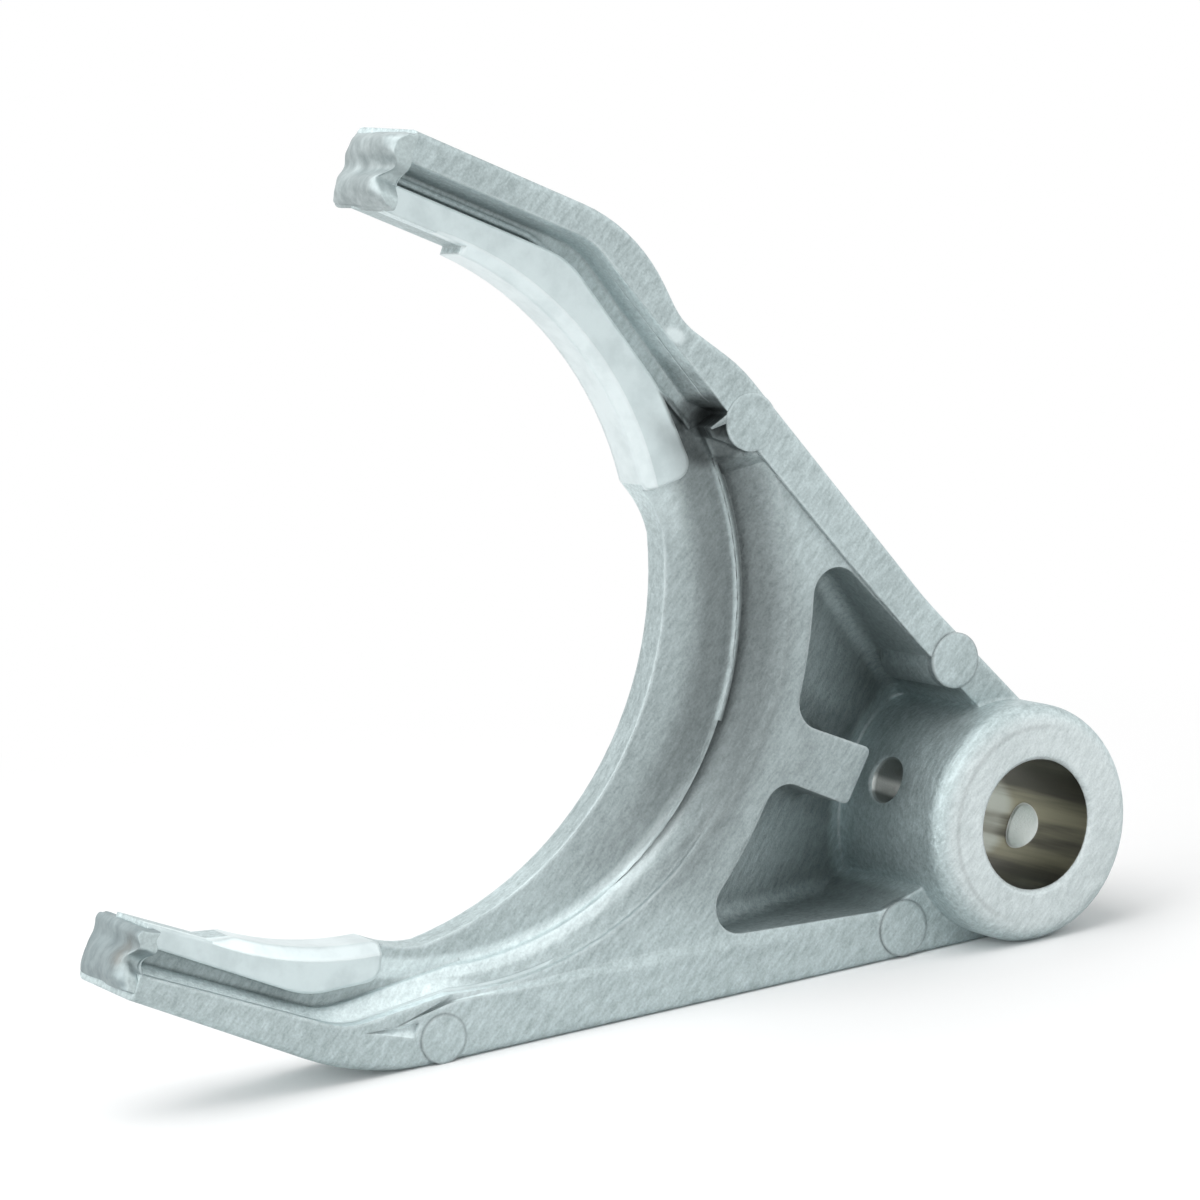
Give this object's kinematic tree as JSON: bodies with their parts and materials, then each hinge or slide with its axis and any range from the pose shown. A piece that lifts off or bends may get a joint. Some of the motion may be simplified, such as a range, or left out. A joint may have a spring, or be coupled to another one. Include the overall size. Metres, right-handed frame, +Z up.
{
  "type": "transmission shift fork",
  "caption": "Die-cast aluminium gearbox shift fork: a bored boss slides on the shift rail and a C-shaped yoke carries pads that push a synchroniser sleeve.",
  "frame": {"origin": "on the axis of the shift rail's bore, at the middle of the boss's length", "axes": "+Y along the rail bore from the boss's front face to its back; +Z up with the fork standing on the flat strip of its lower edge; +X from the mouth towards the boss"},
  "size_m": [0.1315, 0.0252, 0.1034],
  "materials": {
    "cast_aluminium": "as-cast satin with machined pads"
  },
  "bodies": {
    "root": {"shift_fork": "cast_aluminium"}
  },
  "joints": []
}
